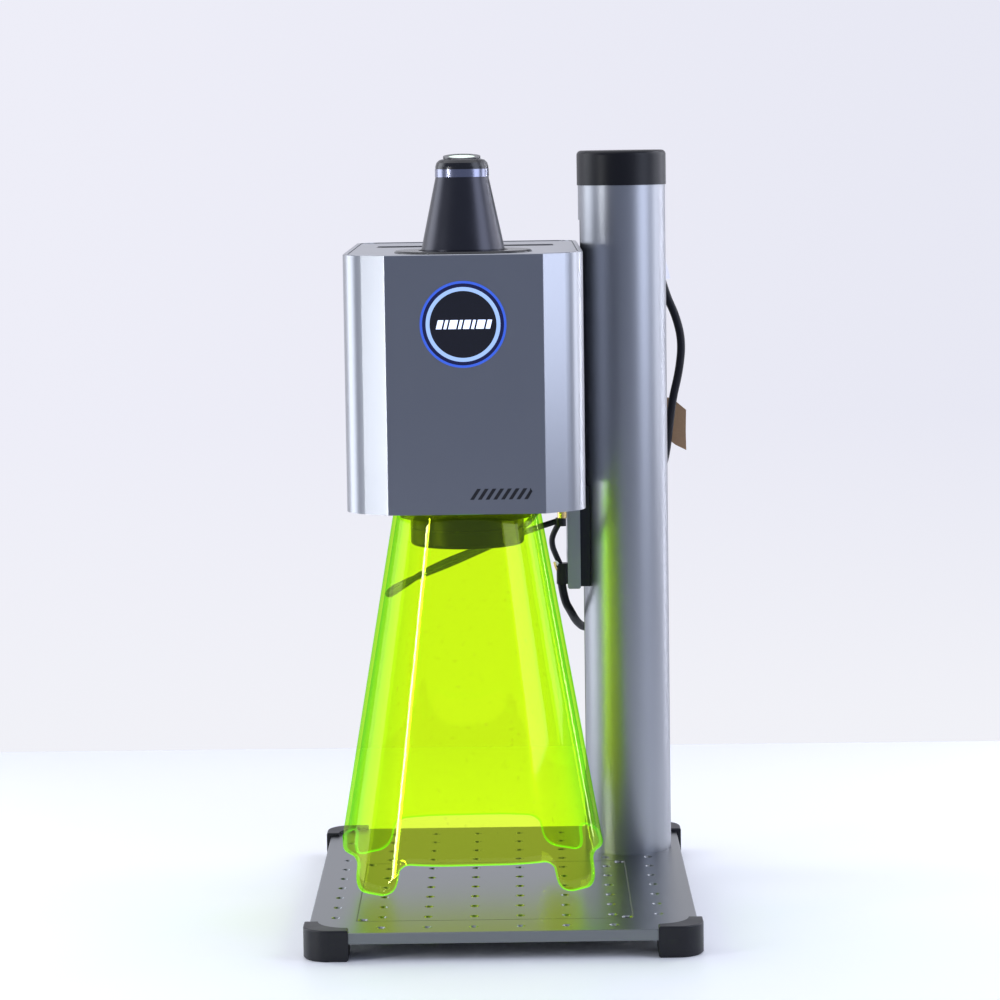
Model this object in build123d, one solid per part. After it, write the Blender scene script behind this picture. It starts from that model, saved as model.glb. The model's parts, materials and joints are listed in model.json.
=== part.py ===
from build123d import *
import math
import os

# Desktop galvo laser cutter: a drilled base plate on four corner feet, a round column with a
# screw-driven lift inside, a deep head on an L bracket, and a flared see-through hood.
# Millimetres. X to the right, Y to the rear, Z up. The origin is on the floor, midway between
# the feet. The laser's exit axis is vertical.

# ---------------------------------------------------------------- driving dimensions
PLATE_W, PLATE_D, PLATE_T = 209.0, 282.0, 6.0
PLATE_TOP = 15.0
PLATE_BOTTOM = PLATE_TOP - PLATE_T

HOLE_PITCH = 25.0          # square grid of clearance holes
HOLE_R = 1.7
HOLE_SINK_R = 2.6          # countersink at the plate's top
GRID_COLS, GRID_ROWS = 8, 11
GRID_X = -3.2              # the grid's middle, a little left of the plate's
GRID_FRONT_Y = -128.4      # its front row

FRAME_SIDE = 150.0         # engraved outline of the work area
FRAME_X, FRAME_Y = -4.5, -38.0
GROOVE_W, GROOVE_DEPTH = 0.7, 0.4
FRAME_HOLE_R, FRAME_SINK_R = 2.2, 3.0
FRAME_HOLE_HALF = 71.5     # half the spacing of the four locating holes at its corners

FOOT_W = 24.5
FOOT_OVERHANG = 2.6        # how far a foot stands out past the plate's edges
FOOT_H = 17.0
FOOT_CORNER_R = 14.0
FOOT_ARM = 7.4             # width of the two arms that lie on the plate's edges

COLUMN_X, COLUMN_Y = 73.9, 78.0
COLUMN_R, COLUMN_WALL = 25.4, 3.0
COLUMN_TOP = 406.0
SLOT_W = 14.0              # slot on the column's left side, for the carriage's neck
CAP_R, CAP_TOP = 25.9, 426.0   # the raised head passes the cap

HEAD_X = -17.0             # middle of the head, of the lens and of the knob
SHELL_X = -17.05           # middle of the extruded shell
HEAD_HALF_W = 64.95
HEAD_FRONT, HEAD_REAR = -98.0, 122.0
HEAD_BOTTOM, HEAD_TOP = 233.4, 373.0
HEAD_WALL = 2.5
FLAT_OFFSET = 0.75         # the front's flat part is a little right of the shell's middle
FLAT_HALF_W = 42.3         # half the flat part of the front
FACET_CORNER_Y = HEAD_FRONT + 15.5
FACET_R = 23.5

AXIS_Y = -50.0             # lens, hood and knob share the axis (HEAD_X, AXIS_Y)

LENS_R, LENS_BOTTOM, LENS_SEAM = 31.2, 212.3, 221.8

HOOD_TOP, HOOD_BOTTOM = 232.9, 29.0
HOOD_TOP_HALF, HOOD_TOP_R = 40.0, 38.0
HOOD_BOTTOM_HALF, HOOD_BOTTOM_R = 75.0, 62.0
HOOD_WALL = 2.2
HOOD_TURN = 3.0            # degrees, as it was last put on
ARCH_TOP, ARCH_HALF_W = 46.4, 43.8
ARCH_R, TAB_R = 8.0, 9.0

BADGE_Z = 335.6
BADGE_RADII = (23.2, 21.9, 20.0, 17.9)   # outer light ring, band, inner light ring, disc

KNOB_BASE_R, KNOB_TOP_R = 22.75, 14.5
KNOB_BASE_Z, KNOB_TRIM_Z = 373.5, 413.5
KNOB_CAP_Z, KNOB_RING_Z, KNOB_TOP_Z = 417.8, 423.3, 426.0
KNOB_TILT = 7.0            # degrees, how far the top leans to the front

BRACKET_T = 7.5
BRACKET_Y0, BRACKET_Y1 = 56.0, 100.0
SLAB_X1 = 47.2             # the slab's right face, against the saddle
SLAB_BOTTOM = 172.2
SADDLE_HALF_D = 15.0

SCREW_R = 4.0
ROD_R, ROD_OFFSET = 2.5, 15.0
FIT = 0.05                 # radial running clearance of shafts
LEAD_THIN_R, LEAD_THICK_R = 1.7, 2.45

parts = {}


# ---------------------------------------------------------------- small helpers
def block(x0, x1, y0, y1, z0, z1):
    return Pos((x0 + x1) / 2, (y0 + y1) / 2, (z0 + z1) / 2) * Box(x1 - x0, y1 - y0, z1 - z0)


def post(x, y, z0, z1, r):
    return Pos(x, y, (z0 + z1) / 2) * Cylinder(r, z1 - z0)


def bar_y(x, z, y0, y1, r):
    return Pos(x, (y0 + y1) / 2, z) * Rot(90, 0, 0) * Cylinder(r, y1 - y0)


def bar_x(y, z, x0, x1, r):
    return Pos((x0 + x1) / 2, y, z) * Rot(0, 90, 0) * Cylinder(r, x1 - x0)


def pipe(x, y, z0, z1, r_out, r_in):
    return post(x, y, z0, z1, r_out) - post(x, y, z0, z1, r_in)


def group(*solids):
    return Compound(children=[s for shape in solids for s in shape.solids()])


def screw_up(x, y, z_seat, head_r, head_h, shank_r, length):
    """A socket-head screw driven upwards, its head hanging below z_seat."""
    body = post(x, y, z_seat - head_h, z_seat, head_r) + post(x, y, z_seat, z_seat + length, shank_r)
    socket = Pos(x, y, z_seat - head_h) * extrude(RegularPolygon(head_r * 0.5, 6), head_h * 0.6)
    return body - socket


# ---------------------------------------------------------------- base
def grid_points():
    for i in range(GRID_COLS):
        for j in range(GRID_ROWS):
            outer = i in (0, GRID_COLS - 1)
            if outer and j in (0, GRID_ROWS - 1):
                continue
            x = GRID_X + (i - (GRID_COLS - 1) / 2) * HOLE_PITCH
            y = GRID_FRONT_Y + j * HOLE_PITCH
            if math.hypot(x - COLUMN_X, y - COLUMN_Y) > COLUMN_R + 4:
                yield x, y


def sunk_hole(x, y, r, sink_r):
    """A through hole in the plate with a 45 degree countersink at its top."""
    depth = sink_r - r
    cone = Pos(x, y, PLATE_TOP - depth / 2) * Cone(r, sink_r, depth)
    return post(x, y, 0, PLATE_TOP + 1, r) + cone


COLUMN_SCREWS = [(COLUMN_X + 15 * math.cos(a), COLUMN_Y + 15 * math.sin(a))
                 for a in (math.pi / 4 + k * math.pi / 2 for k in range(4))]


def base_plate():
    plate = extrude(Pos(0, 0, PLATE_BOTTOM) * RectangleRounded(PLATE_W, PLATE_D, 6), PLATE_T)
    plate = chamfer(plate.faces().sort_by(Axis.Z)[-1].edges(), 0.4)
    half = FRAME_SIDE / 2
    outline = Rectangle(FRAME_SIDE, FRAME_SIDE) - Rectangle(FRAME_SIDE - 2 * GROOVE_W,
                                                            FRAME_SIDE - 2 * GROOVE_W)
    plate -= extrude(Pos(FRAME_X, FRAME_Y, PLATE_TOP - GROOVE_DEPTH) * outline, half)
    holes = [sunk_hole(x, y, HOLE_R, HOLE_SINK_R) for x, y in grid_points()]
    holes += [sunk_hole(FRAME_X + sx * FRAME_HOLE_HALF, FRAME_Y + sy * FRAME_HOLE_HALF,
                        FRAME_HOLE_R, FRAME_SINK_R) for sx in (-1, 1) for sy in (-1, 1)]
    holes += [post(x, y, 0, 30, 2.1) for x, y in COLUMN_SCREWS]
    holes += [post(x, y, 0, 30, 1.6) for x, y in foot_screw_points()]
    return plate - holes


def foot_places():
    """Each foot's middle, and its turn from the rear right one."""
    mid_x = PLATE_W / 2 + FOOT_OVERHANG - FOOT_W / 2
    mid_y = PLATE_D / 2 + FOOT_OVERHANG - FOOT_W / 2
    return [(mid_x, mid_y, 0), (-mid_x, mid_y, 90), (-mid_x, -mid_y, 180), (mid_x, -mid_y, 270)]


def foot_screw_points():
    return [(x, y) for x, y, _ in foot_places()]


def foot(x, y, turn):
    """A moulded corner foot that grips the plate's corner; its inner corner is scooped out."""
    pad = Rectangle(FOOT_W, FOOT_W)
    outer = pad.vertices().sort_by(lambda v: v.X + v.Y)[-1]
    pad = fillet(outer, FOOT_CORNER_R)
    solid = extrude(pad, FOOT_H)
    solid = fillet(solid.faces().sort_by(Axis.Z)[-1].edges(), 1.0)
    solid = chamfer(solid.faces().sort_by(Axis.Z)[0].edges(), 0.9)
    scoop = Pos(-FOOT_W / 2, -FOOT_W / 2, PLATE_BOTTOM) * Circle(FOOT_W - FOOT_ARM)
    solid -= extrude(scoop, FOOT_H)
    solid = Pos(x, y) * Rot(0, 0, turn) * solid
    solid -= extrude(Pos(0, 0, PLATE_BOTTOM) * RectangleRounded(PLATE_W, PLATE_D, 6), PLATE_T)
    return solid - post(x, y, -1, FOOT_H - 3, 1.5) - post(x, y, -1, 3.0, 3.2)


def make_base():
    parts["base_plate"] = base_plate()
    parts["feet"] = group(*[foot(*place) for place in foot_places()])
    foot_screws = [screw_up(x, y, 3.0, 2.4, 2.6, 1.5, 11.0) for x, y in foot_screw_points()]
    column_screws = [screw_up(x, y, PLATE_BOTTOM, 3.4, 3.6, 2.0, 14.0) for x, y in COLUMN_SCREWS]
    parts["base_screws"] = group(*foot_screws, *column_screws)


# ---------------------------------------------------------------- column and its drive
def make_column():
    x, y = COLUMN_X, COLUMN_Y
    inner = COLUMN_R - COLUMN_WALL
    tube = pipe(x, y, PLATE_TOP, COLUMN_TOP, COLUMN_R, inner)
    tube -= block(x - COLUMN_R - 2, x, y - SLOT_W / 2, y + SLOT_W / 2, 60, 386)
    parts["column_tube"] = tube

    cap = post(x, y, COLUMN_TOP, CAP_TOP, CAP_R)
    cap = fillet(cap.faces().sort_by(Axis.Z)[-1].edges(), 2.6)
    parts["column_cap"] = cap + post(x, y, 402.5, COLUMN_TOP, inner - 0.1)

    shoe = post(x, y, PLATE_TOP, 33, inner)
    parts["column_shoe"] = shoe - [post(sx, sy, 0, 33, 2.0) for sx, sy in COLUMN_SCREWS]

    motor = Pos(x, y, 33) * extrude(chamfer(Rectangle(28, 28).vertices(), 2.5), 32)
    parts["lift_motor"] = motor - post(x, y, 45, 70, 2.5 + FIT)

    lower = post(x, y, 65, 71, inner) - post(x, y, 60, 75, 10)
    rods = [post(x, y + s * ROD_OFFSET, 67, 396, ROD_R) for s in (-1, 1)]
    parts["rod_holder_lower"] = lower - rods
    upper = post(x, y, 390, 402, inner) - post(x, y, 380, 410, 8)
    parts["rod_holder_upper"] = upper - rods
    parts["guide_rods"] = group(*rods)
    parts["screw_bearing"] = pipe(x, y, 391, 397, 8, SCREW_R + FIT)

    parts["lead_screw"] = post(x, y, 82, 398, SCREW_R)
    coupling = pipe(x, y, 72, 92, 9, SCREW_R) + pipe(x, y, 72, 82, 9, 2.5)
    coupling -= block(x - 0.6, x + 0.6, y, y + 10, 71, 93)
    parts["motor_shaft"] = group(post(x, y, 46, 81.5, 2.5), coupling)


def rotated_box(angle, r0, r1, half_w, z0, z1):
    """A box on the column's outside, from radius r0 to r1 in the direction of angle."""
    return Pos(COLUMN_X, COLUMN_Y) * Rot(0, 0, angle) * block(r0, r1, -half_w, half_w, z0, z1)


SOCKET_ANGLE = 45.0
SOCKET_BOTTOM, SOCKET_TOP = 350.0, 372.0
CLIP_ANGLE = 74.0


def make_column_fittings():
    tube = post(COLUMN_X, COLUMN_Y, 0, 420, COLUMN_R)
    outline = Polyline((20, SOCKET_TOP), (28, SOCKET_TOP), (36.2, SOCKET_BOTTOM),
                       (20, SOCKET_BOTTOM), close=True)
    wedge = extrude(Plane.XZ * make_face(outline), 5, both=True)
    parts["lead_socket"] = Pos(COLUMN_X, COLUMN_Y) * Rot(0, 0, SOCKET_ANGLE) * wedge - tube
    clip = rotated_box(CLIP_ANGLE, 24, 41, 4, 196, 203) - tube
    parts["lead_clip"] = clip


# ---------------------------------------------------------------- carriage and bracket
def make_carriage():
    x, y = COLUMN_X, COLUMN_Y
    inner = COLUMN_R - COLUMN_WALL
    neck = block(SLAB_X1, x - 10, y - SLOT_W / 2 + 0.3, y + SLOT_W / 2 - 0.3, 182, 222)
    body = post(x, y, 182, 222, inner - 0.5) + neck
    body -= post(x, y, 180, 224, 7)
    body -= [post(x, y + s * ROD_OFFSET, 180, 224, 4) for s in (-1, 1)]
    parts["carriage"] = body
    nut = pipe(x, y, 186, 218, 7, SCREW_R + FIT) + pipe(x, y, 222, 225, 10.5, SCREW_R + FIT)
    parts["lift_nut"] = nut + pipe(x, y, 218, 222, 7, SCREW_R + FIT)
    parts["guide_bushes"] = group(*[pipe(x, y + s * ROD_OFFSET, 182, 222, 4, ROD_R + FIT)
                                    for s in (-1, 1)])

    saddle = block(SLAB_X1, 54, y - SADDLE_HALF_D, y + SADDLE_HALF_D, SLAB_BOTTOM + 0.5, 231.6)
    saddle -= post(x, y, 100, 300, COLUMN_R + 0.3)
    parts["saddle"] = saddle - neck

    slab = block(SLAB_X1 - BRACKET_T, SLAB_X1, BRACKET_Y0, BRACKET_Y1, SLAB_BOTTOM, HEAD_BOTTOM)
    leg = block(-44, SLAB_X1, BRACKET_Y0, BRACKET_Y1, HEAD_BOTTOM - 8, HEAD_BOTTOM)
    bracket = slab + leg
    inside = bracket.edges().filter_by(Axis.Y).sort_by_distance((39.7, 78, 225.4))[0]
    bracket = fillet(inside, 5)
    bracket = chamfer(bracket.edges().filter_by(Axis.Y).sort_by_distance((47.2, 78, 172))[:2], 0.8)
    leg_holes = [(px, py) for px in (-34, 22) for py in (66, 90)]
    slab_holes = [(py, pz) for py in (73.5, 82.5) for pz in (190, 214)]
    for px, py in leg_holes:
        bracket -= post(px, py, 220, 240, 2.1) + post(px, py, 220, 229.5, 3.7)
    for py, pz in slab_holes:
        bracket -= bar_x(py, pz, 30, 50, 2.1) + bar_x(py, pz, 30, 43.6, 3.7)
        parts["carriage"] -= bar_x(py, pz, 40, 57, 2.0)
    parts["head_bracket"] = bracket
    leg_screws = [screw_up(px, py, 229.5, 3.5, 3.2, 2.0, 8) for px, py in leg_holes]
    slab_screws = [bar_x(py, pz, 40.4, 43.6, 3.5) + bar_x(py, pz, 43.6, 56.5, 2.0)
                   - Pos(40.4, py, pz) * Rot(0, 90, 0) * extrude(RegularPolygon(1.8, 6), 2)
                   for py, pz in slab_holes]
    return leg_holes, leg_screws + slab_screws


# ---------------------------------------------------------------- head shells
def head_section(inset=0.0):
    """The extrusion's outline: flat front, two facets that turn into the sides, round rear."""
    w = HEAD_HALF_W
    points = [(FLAT_OFFSET - FLAT_HALF_W, HEAD_FRONT), (FLAT_OFFSET + FLAT_HALF_W, HEAD_FRONT),
              (w, FACET_CORNER_Y),
              (w, HEAD_REAR), (-w, HEAD_REAR), (-w, FACET_CORNER_Y)]
    face = make_face(Polyline(*points, close=True))
    face = fillet(face.vertices().filter_by(lambda v: abs(v.Y - FACET_CORNER_Y) < 0.1), FACET_R)
    face = fillet(face.vertices().filter_by(lambda v: abs(v.Y - HEAD_REAR) < 0.1), 14)
    face = fillet(face.vertices().filter_by(lambda v: abs(v.Y - HEAD_FRONT) < 0.1), 1.5)
    if inset:
        face = offset(face, -inset)
    return Pos(SHELL_X, 0) * face


def head_slice(z0, z1, inset=0.0):
    return Pos(0, 0, z0) * extrude(head_section(inset), z1 - z0)


REAR_WINDOW = (HEAD_X - 52, HEAD_X + 52, 247.0, 359.0)
PANEL_SCREWS = [(HEAD_X + sx * 56, 303 + sz * 60) for sx in (-1, 1) for sz in (-1, 1)]
FAN_Z = 312.0
INLET_X, PORT_X, BUTTON_X, REAR_ROW_Z = HEAD_X - 38, HEAD_X - 12, HEAD_X + 36, 262.0
VENT = (HEAD_X - 50.5, HEAD_X + 50.5, 37.0, 63.0)


def make_head(leg_holes, bracket_screws):
    shell = head_slice(HEAD_BOTTOM, HEAD_TOP) - head_slice(HEAD_BOTTOM - 1, HEAD_TOP + 1, HEAD_WALL)
    shell -= bar_y(HEAD_X, BADGE_Z, HEAD_FRONT - 5, HEAD_FRONT + 5, BADGE_RADII[0])
    x0, x1, z0, z1 = REAR_WINDOW
    shell -= block(x0, x1, HEAD_REAR - 5, HEAD_REAR + 5, z0, z1)
    shell -= [bar_y(px, pz, HEAD_REAR - 5, HEAD_REAR + 5, 1.3) for px, pz in PANEL_SCREWS]
    parts["head_housing"] = chamfer(shell.faces().sort_by(Axis.Z)[-1].outer_wire().edges(), 0.4)

    seam = HEAD_WALL + 0.3
    cover = head_slice(HEAD_TOP - 3.4, HEAD_TOP - 0.4, seam)
    cover -= post(HEAD_X, AXIS_Y, 360, 380, 3.5)
    parts["head_top_cover"] = cover - block(*VENT, 360, 380)
    vx0, vx1, vy0, vy1 = VENT
    vent = block(vx0, vx1, vy0, vy1, HEAD_TOP - 3.4, HEAD_TOP - 0.8)
    bars = [block(vx0 + 2, vx1 - 2, vy0 + 2 + 4 * k, vy0 + 4 + 4 * k, 360, 380) for k in range(6)]
    parts["top_vent"] = vent - bars
    ring = pipe(HEAD_X, AXIS_Y, HEAD_TOP - 0.4, HEAD_TOP + 0.8, 37.7, 24.5)
    parts["knob_seat"] = chamfer(ring.faces().sort_by(Axis.Z)[-1].outer_wire().edges(), 0.8)

    floor = head_slice(HEAD_BOTTOM, HEAD_BOTTOM + 3, seam)
    floor -= post(HEAD_X, AXIS_Y, 230, 240, 22)
    floor -= [post(px, py, 230, 240, 2.0) for px, py in leg_holes]
    parts["head_floor"] = floor

    panel = extrude(Pos(HEAD_X, HEAD_REAR, 303) * Rot(90, 0, 0)
                    * RectangleRounded(118, 132, 6), -2.5)
    for k in range(-4, 5):
        half = math.sqrt(27.5 ** 2 - (6 * k) ** 2)
        panel -= block(HEAD_X - half, HEAD_X + half, 115, 130, FAN_Z + 6 * k - 1.9,
                       FAN_Z + 6 * k + 1.9)
    panel -= [bar_y(px, pz, 115, 130, 1.6) for px, pz in PANEL_SCREWS]
    panel -= bar_y(INLET_X, REAR_ROW_Z, 115, 130, 5.5)
    panel -= block(PORT_X - 6, PORT_X + 6, 115, 130, REAR_ROW_Z - 5.5, REAR_ROW_Z + 5.5)
    panel -= bar_y(BUTTON_X, REAR_ROW_Z, 115, 130, 6.2)
    parts["rear_panel"] = panel
    panel_screws = [bar_y(px, pz, 124.5, 126.3, 2.9) + bar_y(px, pz, 118, 124.5, 1.3)
                    - bar_y(px, pz, 125.2, 127, 1.2) for px, pz in PANEL_SCREWS]
    parts["head_screws"] = group(*bracket_screws, *panel_screws)


def make_badge():
    r0, r1, r2, r3 = BADGE_RADII
    y0, y1 = HEAD_FRONT - 0.6, HEAD_FRONT + HEAD_WALL

    def disc(r, front, back):
        return bar_y(HEAD_X, BADGE_Z, front, back, r)

    parts["badge_rings"] = group(disc(r0, y0, y1) - disc(r1, y0 - 1, y1 + 1),
                                 disc(r2, y0, y1) - disc(r3, y0 - 1, y1 + 1))
    band = disc(r1, y0 + 0.3, y1) - disc(r2, y0 - 1, y1 + 1)
    parts["badge_face"] = group(band, disc(r3, y0 + 0.2, y1))
    parts["badge_board"] = bar_y(HEAD_X, BADGE_Z, y1 + 1.5, y1 + 3.1, 23)


# ---------------------------------------------------------------- optics inside the head
MIRROR_Z = 280.0
MIRROR_X_AT = HEAD_X + 22


def make_optics():
    x, y = HEAD_X, AXIS_Y
    upper = post(x, y, LENS_SEAM + 0.5, HEAD_BOTTOM, LENS_R) + post(x, y, LENS_SEAM, LENS_SEAM + 0.5,
                                                                   LENS_R - 0.7)
    parts["lens_mount"] = upper - post(x, y, 200, 240, 25)
    barrel = post(x, y, LENS_BOTTOM, LENS_SEAM, LENS_R)
    barrel = fillet(barrel.faces().sort_by(Axis.Z)[0].edges(), 2.0)
    barrel -= post(x, y, 200, 240, 22)
    barrel -= post(x, y, 214, 217, 24)
    parts["lens_barrel"] = barrel
    parts["lens_glass"] = post(x, y, 214, 217, 24)

    plate = block(x - 32, x + 38, y - 30, y + 30, HEAD_BOTTOM + 3, HEAD_BOTTOM + 9)
    plate -= post(x, y, 230, 250, 13.5)
    wall = block(x + 33, x + 38, y - 30, y + 30, HEAD_BOTTOM + 9, 312)
    shelf = block(x + 10, x + 33, y - 14, y + 14, 296, 302)
    shelf -= post(MIRROR_X_AT, y, 290, 310, 4)
    yoke = block(x - 15, x + 15, y + 14, y + 20, HEAD_BOTTOM + 9, 293)
    yoke -= bar_y(x, MIRROR_Z, y, y + 30, 4)
    lx = MIRROR_X_AT
    pedestal = block(lx - 16, lx + 16, 24, 80, HEAD_BOTTOM + 3, MIRROR_Z - 17)
    pedestal -= [post(22, py, 230, 245, 2.1) for py in (66, 90)]
    parts["optics_frame"] = group(plate + wall + shelf + yoke, pedestal)

    parts["galvo_x_motor"] = post(MIRROR_X_AT, y, 302, 338, 10) - post(MIRROR_X_AT, y, 300, 330,
                                                                      1.5 + FIT)
    parts["galvo_y_motor"] = bar_y(x, MIRROR_Z, y + 20, y + 56, 10) - bar_y(x, MIRROR_Z, y + 10,
                                                                           y + 48, 1.5 + FIT)
    glass = Pos(MIRROR_X_AT, y, MIRROR_Z) * Rot(0, 0, 45) * Box(10, 1.6, 12)
    parts["mirror_x"] = glass + post(MIRROR_X_AT, y, MIRROR_Z + 5, 326, 1.5)
    glass = Pos(x, y, MIRROR_Z) * Rot(0, 45, 0) * Box(16, 14, 1.6)
    parts["mirror_y"] = glass + bar_y(x, MIRROR_Z, y + 6, y + 46, 1.5)

    module = block(lx - 20, lx + 20, 20, 84, MIRROR_Z - 17, MIRROR_Z + 17)
    module -= bar_y(lx, MIRROR_Z, 10, 30, 5)
    parts["laser_module"] = module
    sink = block(lx - 20, lx + 20, 20, 84, MIRROR_Z + 17, MIRROR_Z + 21)
    fins = [block(lx - 20 + 4.2 * k, lx - 18.2 + 4.2 * k, 20, 84, MIRROR_Z + 21, MIRROR_Z + 42)
            for k in range(10)]
    parts["heat_sink"] = sink + fins


def make_electronics():
    board_x = HEAD_X - 58
    standoffs = [bar_x(py, pz, SHELL_X - HEAD_HALF_W + HEAD_WALL, board_x, 3)
                 for py in (-32, 82) for pz in (258, 342)]
    parts["control_board"] = group(block(board_x, board_x + 1.6, -40, 90, 250, 350), *standoffs)
    frame = Pos(HEAD_X, 111, FAN_Z) * Rot(90, 0, 0) * extrude(RectangleRounded(60, 60, 4), 7.5,
                                                              both=True)
    frame -= bar_y(HEAD_X, FAN_Z, 100, 125, 28.5)
    hub = bar_y(HEAD_X, FAN_Z, 116, 118.5, 10) + block(HEAD_X - 30, HEAD_X + 30, 116.5, 118.5,
                                                      FAN_Z - 2, FAN_Z + 2)
    parts["fan_frame"] = frame + (hub - bar_y(HEAD_X, FAN_Z, 100, 125, 1.5 + FIT))
    rotor = bar_y(HEAD_X, FAN_Z, 105, 115, 11) + bar_y(HEAD_X, FAN_Z, 110, 118.4, 1.5)
    blade = Pos(18.7, 0, 0) * Rot(38, 0, 0) * Box(16.8, 9.5, 1.4)
    for k in range(7):
        rotor += Pos(HEAD_X, 110, FAN_Z) * Rot(0, k * 360 / 7, 0) * blade
    parts["fan_rotor"] = rotor

    inlet = bar_y(INLET_X, REAR_ROW_Z, 110, 125.2, 5.5) - bar_y(INLET_X, REAR_ROW_Z, 114, 130, 3.2)
    inlet += bar_y(INLET_X, REAR_ROW_Z, 113, 124, 1.0)
    port = block(PORT_X - 6, PORT_X + 6, 108, 124.9, REAR_ROW_Z - 5.5, REAR_ROW_Z + 5.5)
    port -= block(PORT_X - 4.2, PORT_X + 4.2, 112, 130, REAR_ROW_Z - 3.9, REAR_ROW_Z + 3.9)
    port += block(PORT_X - 2.8, PORT_X + 2.8, 111, 122, REAR_ROW_Z + 1.6, REAR_ROW_Z + 3.0)
    switch = bar_y(BUTTON_X, REAR_ROW_Z, 108, 125.3, 6.2)
    switch -= bar_y(BUTTON_X, REAR_ROW_Z, 111, 130, 5.1)
    parts["rear_sockets"] = group(inlet, port, switch)
    button = bar_y(BUTTON_X, REAR_ROW_Z, 114, 127.4, 5.0)
    parts["power_button"] = fillet(button.faces().sort_by(Axis.Y)[-1].edges(), 0.8)


# ---------------------------------------------------------------- knob
def revolved(points):
    return Pos(HEAD_X, AXIS_Y) * revolve(make_face(Polyline(*points, close=True)).rotate(Axis.X, 90),
                                         Axis.Z)


def make_knob():
    wall = 2.4
    cone = [(KNOB_BASE_R, KNOB_BASE_Z), (KNOB_BASE_R, KNOB_BASE_Z + 1), (KNOB_TOP_R, KNOB_TRIM_Z),
            (KNOB_TOP_R - wall, KNOB_TRIM_Z), (KNOB_BASE_R - wall - 1, KNOB_BASE_Z + 9),
            (3, KNOB_BASE_Z + 9), (3, KNOB_BASE_Z + 5), (KNOB_BASE_R - wall, KNOB_BASE_Z + 5),
            (KNOB_BASE_R - wall, KNOB_BASE_Z)]
    parts["knob_cone"] = revolved(cone)
    parts["knob_shaft"] = post(HEAD_X, AXIS_Y, 352, 392, 3)
    trim = pipe(HEAD_X, AXIS_Y, KNOB_TRIM_Z, KNOB_CAP_Z, KNOB_TOP_R + 0.25, KNOB_TOP_R - wall)
    bore = 7.4
    cap = [(bore, KNOB_CAP_Z), (KNOB_TOP_R, KNOB_CAP_Z), (KNOB_TOP_R, KNOB_CAP_Z + 1.4),
           (13.9, KNOB_CAP_Z + 3.4), (12.4, KNOB_CAP_Z + 4.9), (10.2, KNOB_RING_Z),
           (10.2, KNOB_TOP_Z), (bore, KNOB_TOP_Z)]
    lean = KNOB_TOP_Z - 10.2 * math.tan(math.radians(KNOB_TILT))

    def above(drop):
        """All that is over the leaning top, drop below the ring's own."""
        return Pos(HEAD_X, AXIS_Y, lean - drop) * Rot(KNOB_TILT, 0, 0) * Pos(0, 0, 10) * Box(40, 40, 20)

    parts["knob_cap"] = group(trim, revolved(cap) - above(0))
    button = post(HEAD_X, AXIS_Y, 419.5, KNOB_TOP_Z, bore - 0.1) + post(HEAD_X, AXIS_Y, 396, 419.5, 2)
    parts["knob_button"] = button - above(0.3)
    encoder = block(HEAD_X - 8, HEAD_X + 8, AXIS_Y - 8, AXIS_Y + 8, 350, HEAD_TOP - 3.4)
    parts["knob_encoder"] = encoder - post(HEAD_X, AXIS_Y, 351, 380, 3 + FIT)


# ---------------------------------------------------------------- hood
def hood_loft(inset, extra):
    """The flared body: a nearly round top that opens into a rounded square."""
    slope = (HOOD_BOTTOM_HALF - HOOD_TOP_HALF) / (HOOD_TOP - HOOD_BOTTOM)
    r_slope = (HOOD_BOTTOM_R - HOOD_TOP_R) / (HOOD_TOP - HOOD_BOTTOM)
    sections = []
    for z in (HOOD_TOP + extra, HOOD_BOTTOM - extra):
        drop = HOOD_TOP - z
        half = HOOD_TOP_HALF + slope * drop - inset
        radius = HOOD_TOP_R + r_slope * drop - inset
        sections.append(Pos(0, 0, z) * RectangleRounded(2 * half, 2 * half, radius))
    return loft(sections, ruled=True)


def arch_cutter():
    """The opening between two tabs, as a prism that leaves one side of the hood."""
    w, z0, z1 = ARCH_HALF_W, HOOD_BOTTOM, ARCH_TOP
    c = math.sqrt(0.5)
    low = HOOD_BOTTOM - 10

    def side(s):
        tab = ThreePointArc((s * (w + TAB_R), z0), (s * (w + TAB_R - TAB_R * c), z0 + TAB_R - TAB_R * c),
                            (s * w, z0 + TAB_R))
        top = ThreePointArc((s * w, z1 - ARCH_R), (s * (w - ARCH_R + ARCH_R * c), z1 - ARCH_R + ARCH_R * c),
                            (s * (w - ARCH_R), z1))
        return [Line((s * (w + TAB_R), low), (s * (w + TAB_R), z0)), tab,
                Line((s * w, z0 + TAB_R), (s * w, z1 - ARCH_R)), top]

    edges = side(1) + side(-1) + [Line((-(w + TAB_R), low), (w + TAB_R, low)),
                                  Line((-(w - ARCH_R), z1), (w - ARCH_R, z1))]
    face = make_face(Curve() + edges)
    return extrude(Plane.XZ * face, 110) - block(-100, 100, -20, 100, 0, 100)


def make_hood():
    body = hood_loft(0, 0) - hood_loft(HOOD_WALL, 2)
    for k in range(4):
        body -= Rot(0, 0, 90 * k) * arch_cutter()
    place = Pos(HEAD_X, AXIS_Y) * Rot(0, 0, HOOD_TURN)
    parts["hood"] = place * body
    ring = HOOD_TOP_HALF - HOOD_WALL
    ring = Pos(0, 0, HOOD_TOP - 1.6) * extrude(RectangleRounded(2 * ring, 2 * ring, ring - 2), 1.6)
    parts["hood_ring"] = place * (ring - post(0, 0, 200, 260, 33))
    parts["hood_collar"] = pipe(HEAD_X, AXIS_Y, 227.9, 231.0, 37.0, LENS_R + 0.4)


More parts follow.
